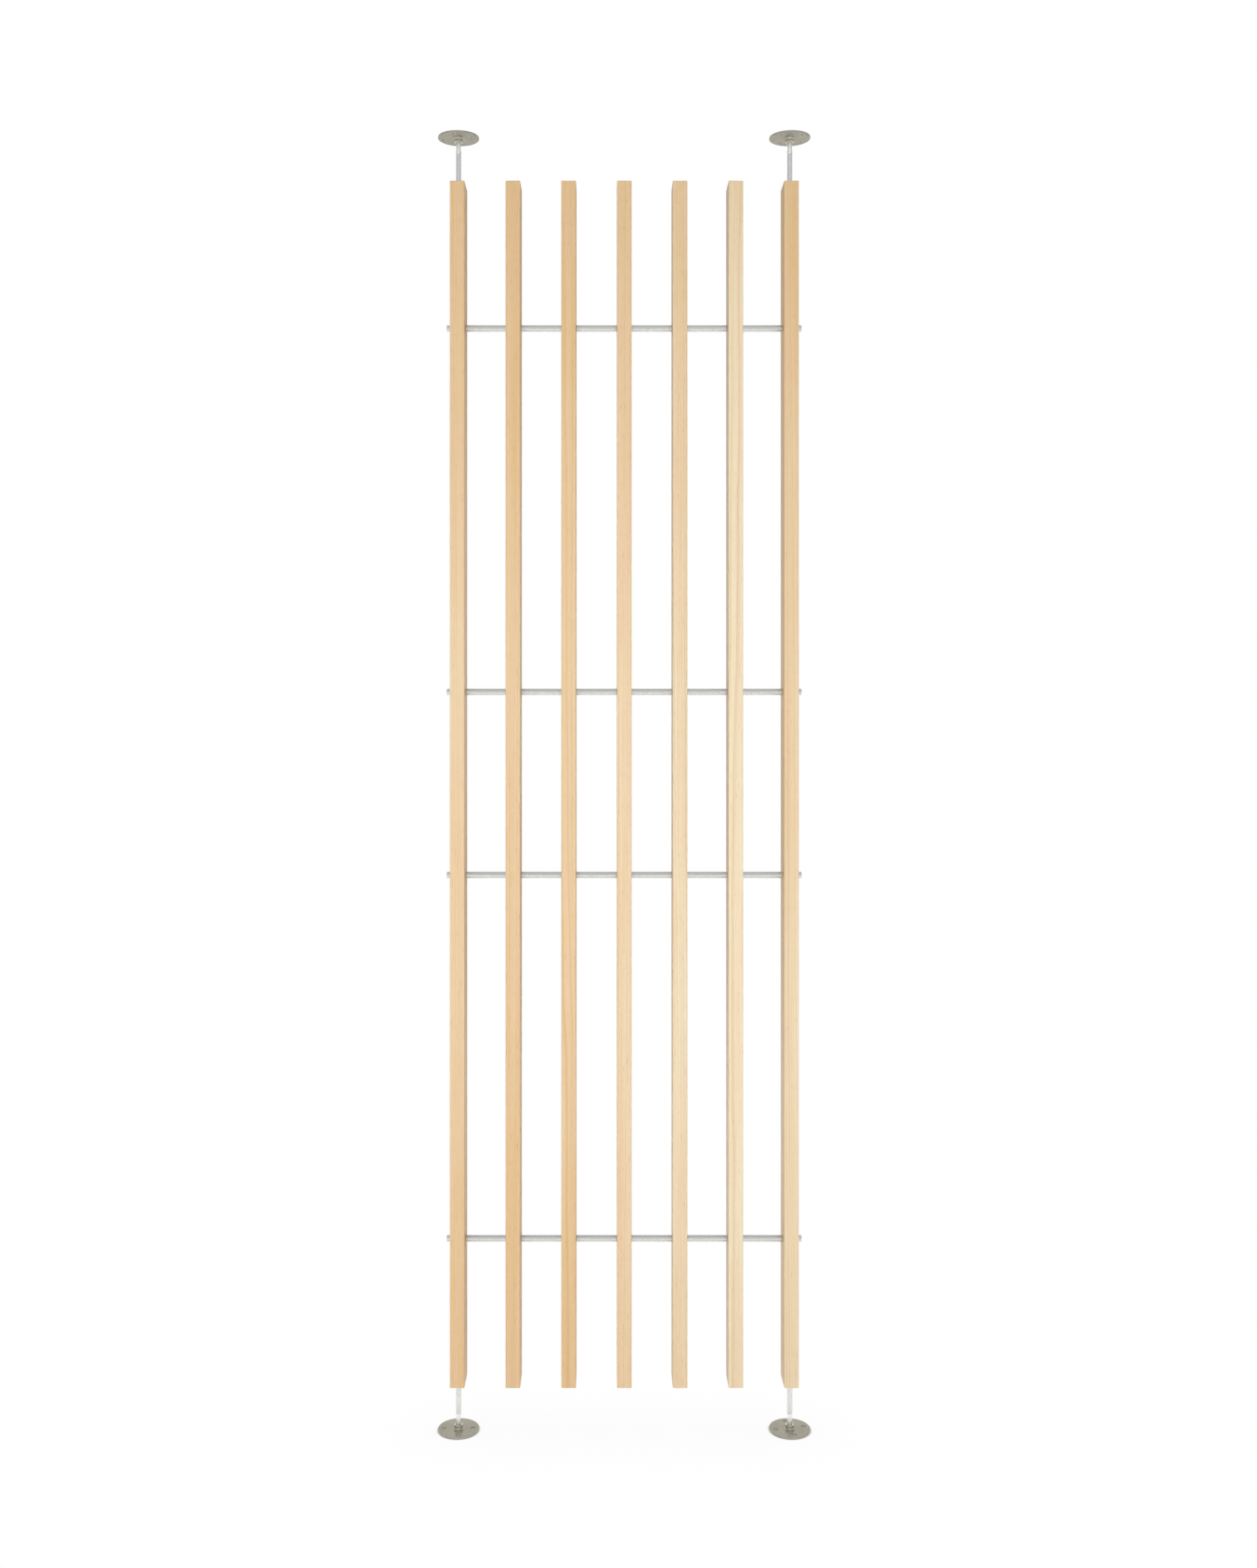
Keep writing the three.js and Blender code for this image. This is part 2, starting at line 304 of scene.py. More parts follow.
def slat_blank(name, low, high):
    """A slat in place, with rounded long edges and eased ends."""
    centre, half = (low + high) / 2, (high - low) / 2
    ease = arc((0, half.z - SLAT_END_RADIUS), SLAT_END_RADIUS, 90, 0, END_STEPS)
    levels = [(SLAT_END_RADIUS - out, height) for out, height in ease]
    sections = [(inset, -height) for inset, height in levels]
    sections += [(inset, height) for inset, height in reversed(levels)]
    points, rings, faces = [], [], []
    for inset, height in sections:
        section = slat_section(half.x - inset, half.y - inset, SLAT_EDGE_RADIUS - inset)
        rings.append(list(range(len(points), len(points) + len(section))))
        points += [(centre.x + x, centre.y + y, centre.z + height) for x, y in section]
    for lower, upper in zip(rings, rings[1:]):
        faces += band(lower, upper)
    faces += [tuple(reversed(rings[0])), tuple(rings[-1])]
    return as_object(name, points, faces)


def cross_bore(row, x, reach):
    """The drill for one row's tie rod, along X through the slat and out on both sides."""
    drill = revolve(
        "cross_bore",
        [(0, -reach), (TIE_BORE_RADIUS, -reach), (TIE_BORE_RADIUS, reach), (0, reach)],
        TIE_BORE_SIDES,
    )
    height = middle(f"tie_rod_{row}").z
    turn = Matrix.Rotation(math.pi / 2, 4, "Y")
    return placed(drill, Matrix.Translation((x, 0, height)) @ turn)


def end_bore():
    """The stepped drill for a slat's end, going down from height 0."""
    flange = INSERT_FLANGE_RADIUS + FIT_GAP
    body = INSERT_RADIUS + FIT_GAP
    seat = -(INSERT_FLANGE_THICKNESS + SEAT_GAP)
    body_end = seat - INSERT_LENGTH - FIT_GAP
    return revolve(
        "end_bore",
        [(0, -SPINDLE_RUN_DEPTH), (SPINDLE_RUN_RADIUS, -SPINDLE_RUN_DEPTH),
         (SPINDLE_RUN_RADIUS, body_end), (body, body_end), (body, seat), (flange, seat),
         (flange, CUT_MARGIN), (0, CUT_MARGIN)],
        END_BORE_SIDES,
    )


def slat(number):
    node = f"slat_{number}"
    low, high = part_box(node)
    piece = slat_blank(f"wood_slat_{number}", low, high)
    x = middle(node).x
    drills = [cross_bore(row, x, high.x - low.x) for row in range(1, ROW_COUNT + 1)]
    if number in (1, SLAT_COUNT):
        upside_down = Matrix.Rotation(math.pi, 4, "X")
        drills.append(placed(end_bore(), Matrix.Translation((x, 0, high.z))))
        drills.append(placed(end_bore(), Matrix.Translation((x, 0, low.z)) @ upside_down))
    cut(piece, *drills)
    finished(piece)
    piece.data.materials.append(wood(number))
    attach(piece, "frame")
    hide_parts(node)


# ---- Rows of bars ----

def spacer_shape():
    """A tube along Z, as long as the gap between two slats and centred on its origin."""
    low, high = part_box("row_1_spacer_1")
    half = (high.x - low.x) / 2
    inner, outer, edge = TIE_BORE_RADIUS, SPACER_RADIUS, SPACER_EDGE
    return finished(revolve(
        "spacer_shape",
        [(inner + edge, -half), (outer - edge, -half), (outer, -half + edge),
         (outer, half - edge), (outer - edge, half), (inner + edge, half),
         (inner, half - edge), (inner, -half + edge)],
        ROW_SIDES,
    ))


def cap_shape():
    """The nut's open end is at height 0 and its closed end, with a hexagon socket, points up."""
    radius, bore_end = SPACER_RADIUS, CAP_LENGTH - CAP_END_WALL
    centre = (radius - CAP_CHAMFER, CAP_LENGTH - CAP_CHAMFER)
    rounding = arc(centre, CAP_CHAMFER, 0, 90, CAP_ROUNDING_STEPS)
    nut = revolve(
        "cap_shape",
        [(0, bore_end), (TIE_BORE_RADIUS, bore_end), (TIE_BORE_RADIUS, 0),
         (radius - SPACER_EDGE, 0), (radius, SPACER_EDGE), *rounding, (0, CAP_LENGTH)],
        ROW_SIDES,
    )
    socket_floor = CAP_LENGTH - CAP_SOCKET_DEPTH
    socket = prism("socket", hexagon(CAP_SOCKET_WIDTH), socket_floor, CAP_LENGTH + CUT_MARGIN)
    return finished(cut(nut, socket))


def spacer(shape, row, gap):
    node = f"row_{row}_spacer_{gap}"
    along = Matrix.Rotation(math.pi / 2, 4, "Y")
    tube = copied(shape, f"steel_bar_{row}_{gap}")
    placed(tube, Matrix.Translation(middle(node)) @ along)
    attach(tube, "frame")
    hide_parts(node)


def cap_nut(shape, row, side, sign):
    """sign is the way along X that the closed end points."""
    node = f"row_{row}_cap_nut_{side}"
    low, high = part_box(node)
    seat = high.x if sign < 0 else low.x
    centre = middle(node)
    outwards = Matrix.Rotation(sign * math.pi / 2, 4, "Y")
    nut = copied(shape, f"steel_bar_end_{row}_{side}")
    placed(nut, Matrix.Translation((seat, centre.y, centre.z)) @ outwards)
    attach(nut, "frame")
    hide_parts(node)


def rows():
    tube, cap = spacer_shape(), cap_shape()
    steel = ground_steel()
    for shape in (tube, cap):
        shape.data.materials.append(steel)
    for row in range(1, ROW_COUNT + 1):
        for gap in range(1, SLAT_COUNT):
            spacer(tube, row, gap)
        for side, sign in (("left", -1), ("right", 1)):
            cap_nut(cap, row, side, sign)
    for shape in (tube, cap):
        bpy.data.objects.remove(shape)


def tie_rods():
    """The rods stay the CAD nodes themselves, because nothing shows of them."""
    zinc = zinc_plate()
    for row in range(1, ROW_COUNT + 1):
        node = frame["nodes"][f"tie_rod_{row}"]
        node.data.materials.clear()
        node.data.materials.append(zinc)


# ---- Threads ----

class Turning:
    """Points and faces of a solid about Z, gathered in steps of one side."""

    def __init__(self, sides):
        self.sides = sides
        self.points = []
        self.faces = []

    def point(self, step, height, radius):
        angle = 2 * math.pi * step / self.sides
        self.points.append((radius * math.cos(angle), radius * math.sin(angle), height))
        return len(self.points) - 1

    def stack(self, outline, first_step):
        """Plain rings over an outline of (radius, height), each begun at first_step."""
        rings = []
        for radius, height in outline:
            if radius == 0:
                rings.append([self.point(0, height, 0)] * self.sides)
            else:
                steps = range(first_step, first_step + self.sides)
                rings.append([self.point(step, height, radius) for step in steps])
        for low, high in zip(rings, rings[1:]):
            self.faces += band(low, high)
        return rings


def threaded(name, below, above, outer, pitch, start, end, sides):
    """A solid about Z with a right-hand thread from start to end.

    below and above are outlines of (radius, height): from the axis up to the thread's foot, and
    from its top to the axis. The thread runs out to full diameter below and to its core above.
    """
    core = outer - THREAD_DEPTH * pitch
    steps = round((end - start) / pitch * sides) - sides
    solid = Turning(sides)
    faces = solid.faces

    # across the thread, from the start of a root to the end of the crest: height and depth
    profile = ((0.0, 1.0), (THREAD_ROOT, 1.0), (THREAD_ROOT + THREAD_FLANK, 0.0),
               (1 - THREAD_FLANK, 0.0))
    width = len(profile)

    def radius_at(deep, height):
        grown = min(max((height - start - pitch) / pitch, 0), 1)
        left = min(max((end - height) / pitch - 1, 0), 1)
        radius = outer - (outer - core) * deep * grown
        return core + (radius - core) * left

    # one row of points across the thread at each step, and for one turn more only its edge
    grid = []
    for i in range(steps + sides + 1):
        base = start + pitch * i / sides
        across = profile if i <= steps else profile[:1]
        grid.append([
            solid.point(i, base + share * pitch, radius_at(deep, base + share * pitch))
            for share, deep in across
        ])

    def corner(i, j):
        return grid[i + sides][0] if j == width else grid[i][j]

    for i in range(steps):
        for j in range(width):
            faces.append((corner(i, j), corner(i + 1, j), corner(i + 1, j + 1), corner(i, j + 1)))

    last = solid.stack(below, 0)[-1]
    for k in range(sides - 1):
        faces.append((last[k], last[k + 1], grid[k + 1][0], grid[k][0]))
    faces.append((last[sides - 1], last[0], *grid[0], grid[sides][0], grid[sides - 1][0]))

    first = solid.stack(above, steps)[0]
    for k in range(1, sides):
        after = first[(k + 1) % sides]
        faces.append((grid[steps + k][0], grid[steps + k + 1][0], after, first[k]))
    seam = reversed(grid[steps][1:])
    faces.append((
        grid[steps][0], grid[steps + 1][0], first[1], first[0], grid[steps + sides][0], *seam,
    ))
    return as_object(name, solid.points, faces)


# ---- Feet: each shape stands upright, with the plate's outer face at height 0 ----

def fixing_hole(number):
    """The drill for one countersunk hole, in its place on the plate."""
    sink_start = PLATE_THICKNESS - (FIXING_SINK_RADIUS - FIXING_HOLE_RADIUS)
    top = PLATE_THICKNESS + CUT_MARGIN
    drill = revolve(
        "fixing_hole",
        [(0, -CUT_MARGIN), (FIXING_HOLE_RADIUS, -CUT_MARGIN), (FIXING_HOLE_RADIUS, sink_start),
         (FIXING_SINK_RADIUS, PLATE_THICKNESS), (FIXING_SINK_RADIUS, top), (0, top)],
        FIXING_SIDES,
    )
    turn = Matrix.Rotation(2 * math.pi * number / FIXING_COUNT, 4, "Z")
    return placed(drill, turn @ Matrix.Translation((FIXING_CIRCLE_RADIUS, 0, 0)))


def plate_shape():
    rim, steps = PLATE_RADIUS - PLATE_CHAMFER, PLATE_ROUNDING_STEPS
    lower_edge = arc((rim, PLATE_CHAMFER), PLATE_CHAMFER, -90, 0, steps)
    upper_edge = arc((rim, PLATE_THICKNESS - PLATE_CHAMFER), PLATE_CHAMFER, 0, 90, steps)
    fillet_centre = (HUB_RADIUS + HUB_FILLET, PLATE_THICKNESS + HUB_FILLET)
    fillet = arc(fillet_centre, HUB_FILLET, 270, 180, HUB_FILLET_STEPS)
    socket, edge = JOURNAL_SOCKET_RADIUS, JOURNAL_SOCKET_EDGE
    plate = revolve(
        "plate_shape",
        [(SCREW_BORE_RADIUS, SCREW_SINK_RADIUS - SCREW_BORE_RADIUS), (SCREW_SINK_RADIUS, 0),
         *lower_edge, *upper_edge, *fillet,
         (HUB_RADIUS, HUB_HEIGHT - HUB_CHAMFER), (HUB_RADIUS - HUB_CHAMFER, HUB_HEIGHT),
         (socket + edge, HUB_HEIGHT), (socket, HUB_HEIGHT - edge), (socket, HUB_FLOOR),
         (SCREW_BORE_RADIUS, HUB_FLOOR)],
        PLATE_SIDES,
    )
    return finished(cut(plate, *(fixing_hole(number) for number in range(FIXING_COUNT))))


def spanner_flats():
    """The cutters for the two flats of a spindle."""
    half = FLATS_WIDTH / 2
    cutters = []
    for low, high in ((half, 3 * half), (-3 * half, -half)):
        corners = [(low, -2 * half), (high, -2 * half), (high, 2 * half), (low, 2 * half)]
        cutters.append(prism("flat", corners, FLATS_START, FLATS_START + FLATS_LENGTH))
    return cutters


def spindle_shape():
    tapped = SCREW_RADIUS + FIT_GAP
    below = [
        (0, SCREW_END + SCREW_RADIUS), (tapped, SCREW_END + FIT_GAP), (tapped, JOURNAL_START),
        (JOURNAL_RADIUS - JOURNAL_CHAMFER, JOURNAL_START),
        (JOURNAL_RADIUS, JOURNAL_START + JOURNAL_CHAMFER), (JOURNAL_RADIUS, SHOULDER),
        (SPINDLE_RADIUS - SHOULDER_CHAMFER, SHOULDER),
        (SPINDLE_RADIUS, SHOULDER + SHOULDER_CHAMFER), (SPINDLE_RADIUS, THREAD_START - THREAD_LEAD),
    ]
    core = SPINDLE_RADIUS - THREAD_DEPTH * SPINDLE_PITCH
    thread_end = SPINDLE_TIP - THREAD_STOP
    above = [(core, thread_end + TIP_EASE), (core - TIP_CHAMFER, SPINDLE_TIP), (0, SPINDLE_TIP)]
    spindle = threaded(
        "spindle_shape", below, above, SPINDLE_RADIUS, SPINDLE_PITCH, THREAD_START, thread_end,
        SPINDLE_SIDES,
    )
    return finished(cut(spindle, *spanner_flats()))


def plate_screw_shape():
    head_end = SCREW_HEAD_RADIUS - SCREW_RADIUS + SCREW_HEAD_EDGE
    below = [
        (0, 0), (SCREW_HEAD_RADIUS - SCREW_HEAD_EDGE, 0), (SCREW_HEAD_RADIUS, SCREW_HEAD_EDGE),
        (SCREW_RADIUS, head_end), (SCREW_RADIUS, SCREW_THREAD_START - SCREW_THREAD_LEAD),
    ]
    core = SCREW_RADIUS - THREAD_DEPTH * SCREW_PITCH
    above = [
        (core, SCREW_END - SCREW_TIP_CHAMFER), (core - SCREW_TIP_CHAMFER, SCREW_END),
        (0, SCREW_END),
    ]
    screw = threaded(
        "plate_screw_shape", below, above, SCREW_RADIUS, SCREW_PITCH, SCREW_THREAD_START,
        SCREW_END - SCREW_THREAD_STOP, SCREW_SIDES,
    )
    socket = prism("socket", hexagon(SCREW_SOCKET_WIDTH), -CUT_MARGIN, SCREW_SOCKET_DEPTH)
    return finished(cut(screw, socket))


def insert_shape():
    seat = FOOT_STANDOFF + INSERT_FLANGE_THICKNESS
    end = seat + INSERT_LENGTH
    bore, edge = INSERT_BORE_RADIUS, INSERT_EDGE
    return finished(revolve(
        "insert_shape",
        [(bore + edge, FOOT_STANDOFF), (INSERT_FLANGE_RADIUS - edge, FOOT_STANDOFF),
         (INSERT_FLANGE_RADIUS, FOOT_STANDOFF + edge), (INSERT_FLANGE_RADIUS, seat),
         (INSERT_RADIUS, seat), (INSERT_RADIUS, end - edge), (INSERT_RADIUS - edge, end),
         (bore + edge, end), (bore, end - edge), (bore, FOOT_STANDOFF + edge)],
        INSERT_SIDES,
    ))


def foot_place(foot):
    """Where a foot's shapes go: upright on the floor, or upside down under the ceiling."""
    x = middle(f"spindle_{foot}").x
    low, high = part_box(f"plate_{foot}")
    if foot.startswith("top"):
        return Matrix.Translation((x, 0, high.z)) @ Matrix.Rotation(math.pi, 4, "X")
    return Matrix.Translation((x, 0, low.z))


def turned_in_mesh(piece, degrees):
    """Turns the piece about its own Z in a mesh of its own, so that its axes stay put."""
    piece.data = piece.data.copy()
    piece.data.transform(Matrix.Rotation(math.radians(degrees), 4, "Z"))


def feet():
    zinc = zinc_plate()
    kinds = (
        ("plate", plate_shape(), turned_plate(), "satin_plate_steel", "plate", "foot_plate"),
        ("spindle", spindle_shape(), thread_steel(), "stainless_steel", "spindle", "foot_spindle"),
        ("spindle", plate_screw_shape(), zinc, "zinc_plated_steel", "plate_screw", "foot_screw"),
        ("frame", insert_shape(), zinc, "zinc_plated_steel", "insert", "foot_insert"),
    )
    for body, shape, material, slot_name, node_kind, piece_kind in kinds:
        shape.data.materials.append(material)
        for foot, turn in PLATE_TURNS.items():
            node = f"{node_kind}_{foot}"
            piece = placed(copied(shape, f"{piece_kind}_{foot}"), foot_place(foot))
            if node_kind == "plate":
                turned_in_mesh(piece, -turn if foot.startswith("top") else turn)
            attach(piece, "frame" if body == "frame" else f"{body}_{foot}")
            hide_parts(node)
        bpy.data.objects.remove(shape)


# ---- Materials ----

def linear(red, green, blue):
    """A colour given as it is seen on screen, 0 to 255, as linear values."""
    values = []
    for value in (red, green, blue):
        share = value / 255
        values.append(share / 12.92 if share < 0.04045 else ((share + 0.055) / 1.055) ** 2.4)
    return (*values, 1.0)


class Nodes:
    """The nodes of a material or a world, with short names for the kinds that they share."""

    def __init__(self, owner):
        owner.use_nodes = True
        self.owner = owner
        self.tree = owner.node_tree
        self.tree.nodes.clear()

    def plug(self, socket, value):
        if isinstance(value, bpy.types.NodeSocket):
            self.tree.links.new(value, socket)
        else:
            socket.default_value = value

    def add(self, kind, inputs=None, **settings):
        """A node with its settings, and its inputs either linked or set."""
        node = self.tree.nodes.new(kind)
        for name, value in settings.items():
            setattr(node, name, value)
        for key, value in (inputs or {}).items():
            self.plug(node.inputs[key], value)
        return node

    def coordinates(self, output="Object"):
        return self.add("ShaderNodeTexCoord").outputs[output]

    def mapped(self, vector, scale=(1, 1, 1), location=(0, 0, 0)):
        return self.add("ShaderNodeMapping", {
            "Vector": vector, "Scale": scale, "Location": location,
        }).outputs["Vector"]

    def axes(self, vector):
        return self.add("ShaderNodeSeparateXYZ", {0: vector}).outputs

    def vector(self, x, y, z=0.0):
        return self.add("ShaderNodeCombineXYZ", {"X": x, "Y": y, "Z": z}).outputs[0]

    def math(self, operation, a, b=0.0, clamp=False):
        return self.add(
            "ShaderNodeMath", {0: a, 1: b}, operation=operation, use_clamp=clamp,
        ).outputs[0]

    def vector_math(self, operation, a, b):
        return self.add("ShaderNodeVectorMath", {0: a, 1: b}, operation=operation).outputs[0]

    def length(self, vector):
        return self.add(
            "ShaderNodeVectorMath", {0: vector}, operation="LENGTH",
        ).outputs["Value"]

    def scaled(self, value, factor):
        return self.math("MULTIPLY", value, factor)

    def centred(self, value, strength):
        """A value from 0 to 1 as a push either way, by up to half of strength."""
        return self.scaled(self.math("SUBTRACT", value, 0.5), strength)

    def noise(self, vector, scale=1.0, detail=2.0, roughness=0.5, output="Fac"):
        return self.add("ShaderNodeTexNoise", {
            "Vector": vector, "Scale": scale, "Detail": detail, "Roughness": roughness,
        }).outputs[output]

    def ranged(self, value, low, high, to_low=0.0, to_high=1.0, smooth=False):
        return self.add("ShaderNodeMapRange", {
            "Value": value, "From Min": low, "From Max": high, "To Min": to_low, "To Max": to_high,
        }, clamp=True, interpolation_type="SMOOTHSTEP" if smooth else "LINEAR").outputs["Result"]

    def mixed(self, factor, a, b, blend="MIX"):
        """Two colours mixed, through the sockets that the node keeps for colours."""
        node = self.add("ShaderNodeMix", {"Factor": factor}, data_type="RGBA", blend_type=blend)
        self.plug(node.inputs[6], a)
        self.plug(node.inputs[7], b)
        return node.outputs[2]

    def bump(self, height, distance, strength):
        return self.add("ShaderNodeBump", {
            "Height": height, "Distance": distance, "Strength": strength,
        }).outputs["Normal"]

    def surface(self, **sockets):
        names = {name.replace("_", " "): value for name, value in sockets.items()}
        shader = self.add("ShaderNodeBsdfPrincipled", names)
        self.add("ShaderNodeOutputMaterial", {"Surface": shader.outputs["BSDF"]})
        return self.owner


def new_material(name):
    return Nodes(bpy.data.materials.new(name))


# Each slat: how pale it is, how much paler its foot is than its head, how rosy it is, and where
# its tree's heart lay, in millimetres from its axis
SLATS = (
    (0.28, 0.00, 0.30, (95, 60)),
    (0.10, 0.00, 0.36, (-70, 110)),
    (0.15, 0.00, 0.24, (40, -130)),
    (0.46, 0.22, 0.40, (-120, -45)),
    (0.72, 0.22, 0.22, (85, 105)),
    (1.00, 0.34, 0.18, (-30, 165)),
    (0.36, 0.66, 0.20, (130, -70)),
)
GOLDEN_WOOD = linear(226, 193, 142)
PALE_WOOD = linear(243, 229, 198)
ROSY_WOOD = linear(236, 203, 170)
LATE_WOOD = linear(204, 164, 113)

# How much of late wood's colour each mark brings in
RING_SHARE = 0.38
FIBRE_SHARE = 0.16
PORE_SHARE = 0.45
END_GRAIN_SHARE = 0.3

# How rosy two kinds of streak are, in shares of their slat's own rosiness
FLUSH_ROSINESS = 1.4
STREAK_ROSINESS = 0.9

# Relief of the planed faces, and how far rings and fibres rise and pores sink in it
WOOD_RELIEF = 0.12 * MM
RING_RISE = 0.5
FIBRE_RISE = 0.6
PORE_SINK = 0.8

# How paleness goes along a slat, with distances in metres from its middle
PALE_START = 0.08  # added to every slat's own
# painted shade: paleness falls towards both ends of a slat, standing in for the front light's
# fall-off
ENDS_PAINTED_SHADE = 0.42
ENDS_FROM, ENDS_TO = 0.25, 1.15
FOOT_FROM, FOOT_TO = 0.2, -0.9
PATCH_STRENGTH = 0.7
STREAK_STRENGTH = 0.9

# How close each kind of mark lies, across the slat both ways and along it: larger is closer
RING_WANDER_SCALE = (7, 7, 0.8)
PATCH_SCALE = (9, 9, 2.2)
STREAK_SCALE = (60, 60, 0.9)
FLUSH_SCALE = (75, 75, 2.6)
FINE_STREAK_SCALE = (260, 260, 3.0)
PORE_SCALE = (1100, 1100, 55)
FIBRE_SCALE = (1500, 1500, 22)

# Growth rings
RINGS_PER_METRE = 290.0
RING_UNEVENNESS = 2.6  # in rings
RING_WANDER = 12.0 * MM
HEART_LEAN = 0.006  # sideways for each metre up
YEAR_SCALE_OUT = 120.0
YEAR_SCALE_UP = 0.3

# How dark the wood is across one growth ring, from its early wood to its late wood
RING_SHADES = ((0.0, 0.15), (0.12, 0.0), (0.55, 0.12), (0.88, 1.0), (0.95, 0.9), (1.0, 0.2))

# How far a second noise is taken along the same coordinates, to differ from the first
CONTRAST_SHIFT = (7.3, 0, 0)
FLUSH_SHIFT = (3.1, 0, 0)


# How far a slat's marks lie from those of the slat before, and the share of it along each axis
SEED_STEP = 3.7
SEED_SHARES = (1, 0.31, 0.17)


def slat_seed(number):
    return SEED_STEP * number


def ring_shade(nodes, ring):
    ramp_node = nodes.add("ShaderNodeValToRGB", {"Fac": ring})
    ramp = ramp_node.color_ramp
    ramp.interpolation = "EASE"
    first, *between, last = RING_SHADES
    for element, (position, value) in zip(ramp.elements, (first, last)):
        element.position = position
        element.color = (value, value, value, 1)
    for position, value in between:
        ramp.elements.new(position).color = (value, value, value, 1)
    return ramp_node.outputs["Color"]


def late_wood(nodes, own, shifted, number):
    """Growth rings about a heart that leans a little, so that their lines run out on the slat."""
    heart = SLATS[number - 1][-1]
    wander = nodes.noise(nodes.mapped(shifted, RING_WANDER_SCALE), detail=3, output="Color")
    wander = nodes.vector_math("SUBTRACT", wander, (0.5, 0.5, 0.5))
    wander = nodes.vector_math("MULTIPLY", wander, (RING_WANDER, RING_WANDER, 0))
    axes = nodes.axes(own)
    drift = nodes.scaled(axes["Z"], HEART_LEAN if number % 2 else -HEART_LEAN)
    flat = nodes.vector(nodes.math("ADD", axes["X"], drift), axes["Y"])
    flat = nodes.vector_math("ADD", flat, wander)
    flat = nodes.vector_math("ADD", flat, (heart[0] * MM, heart[1] * MM, 0))
    radius = nodes.length(flat)
    years = nodes.vector(
        nodes.scaled(radius, YEAR_SCALE_OUT), slat_seed(number),
        nodes.scaled(axes["Z"], YEAR_SCALE_UP),
    )
    unevenness = nodes.scaled(nodes.noise(years, detail=2), RING_UNEVENNESS)
    turns = nodes.math("ADD", nodes.scaled(radius, RINGS_PER_METRE), unevenness)
    shade = ring_shade(nodes, nodes.math("FRACT", turns))
    contrast = nodes.noise(nodes.mapped(years, location=CONTRAST_SHIFT), scale=1.7, detail=1)
    return nodes.math("MULTIPLY", shade, nodes.ranged(contrast, 0.3, 0.7, 0.35, 1.0))


def paleness_of(nodes, shifted, streak, number):
    """Paler half-way up and more golden towards both ends, which is painted shade for the front
    light's fall-off, with soft patches and long streaks.
    """
    pale, paler_foot = SLATS[number - 1][:2]
    centre = middle(f"slat_{number}").z
    up = nodes.axes(nodes.coordinates())["Z"]
    from_middle = nodes.math("ABSOLUTE", nodes.math("SUBTRACT", up, centre))
    # painted shade: this mask grows towards both ends of the slat, where the front light falls off
    ends = nodes.ranged(from_middle, ENDS_FROM, ENDS_TO, smooth=True)
    foot = nodes.ranged(
        up, centre + FOOT_FROM, centre + FOOT_TO, 0.0, paler_foot, smooth=True,
    )
    patch = nodes.noise(nodes.mapped(shifted, PATCH_SCALE), detail=2)
    # painted shade: the slat's ends are made more golden, standing in for less light there
    paleness = nodes.math("SUBTRACT", pale + PALE_START, nodes.scaled(ends, ENDS_PAINTED_SHADE))
    paleness = nodes.math("ADD", paleness, foot)
    paleness = nodes.math("ADD", paleness, nodes.centred(patch, PATCH_STRENGTH))
    return nodes.math("ADD", paleness, nodes.centred(streak, STREAK_STRENGTH), clamp=True)


def wood(number):
    """Pale planed timber with its grain along Z, each slat from its own place in a tree."""
    rosy = SLATS[number - 1][2]
    nodes = new_material(f"pale_wood_{number}")
    seed = slat_seed(number)
    own = nodes.mapped(nodes.coordinates(), location=(-middle(f"slat_{number}").x, 0, 0))
    shifted = nodes.mapped(own, location=tuple(share * seed for share in SEED_SHARES))

    late = late_wood(nodes, own, shifted, number)
    streak = nodes.noise(nodes.mapped(shifted, STREAK_SCALE), detail=3, roughness=0.6)
    fine_streak = nodes.noise(nodes.mapped(shifted, FINE_STREAK_SCALE), detail=3, roughness=0.6)
    fibre = nodes.noise(nodes.mapped(shifted, FIBRE_SCALE), detail=3, roughness=0.65)
    pore = nodes.ranged(nodes.noise(nodes.mapped(shifted, PORE_SCALE), detail=1), 0.66, 0.76)
    flush = nodes.noise(nodes.mapped(shifted, FLUSH_SCALE, FLUSH_SHIFT), detail=2)
    rosiness = nodes.math(
        "ADD", nodes.ranged(flush, 0.4, 0.66, 0.0, FLUSH_ROSINESS * rosy),
        nodes.ranged(fine_streak, 0.42, 0.68, 0.0, STREAK_ROSINESS * rosy), clamp=True,
    )

    # end grain is darker, because it drinks more oil
    facing = nodes.axes(nodes.coordinates("Normal"))["Z"]
    end_grain = nodes.ranged(nodes.math("ABSOLUTE", facing), 0.5, 0.95)

    colour = nodes.mixed(paleness_of(nodes, shifted, streak, number), GOLDEN_WOOD, PALE_WOOD)
    colour = nodes.mixed(rosiness, colour, ROSY_WOOD)
    colour = nodes.mixed(nodes.scaled(late, RING_SHARE), colour, LATE_WOOD)
    fibre_share = nodes.ranged(fibre, 0.3, 0.75, 0.0, FIBRE_SHARE)
    for share in (fibre_share, nodes.scaled(pore, PORE_SHARE),
                  nodes.scaled(end_grain, END_GRAIN_SHARE)):
        colour = nodes.mixed(share, colour, LATE_WOOD, "MULTIPLY")

    height = nodes.math("ADD", nodes.scaled(late, RING_RISE), nodes.scaled(fibre, FIBRE_RISE))
    height = nodes.math("SUBTRACT", height, nodes.scaled(pore, PORE_SINK))
    return nodes.surface(
        Base_Color=colour,
        Roughness=nodes.ranged(fibre, 0.2, 0.8, 0.44, 0.6),
        Normal=nodes.bump(height, WOOD_RELIEF, 0.5),
    )


METAL_RELIEF = 0.01 * MM
MARK_BRIGHTNESS = 0.86  # of the bare steel's


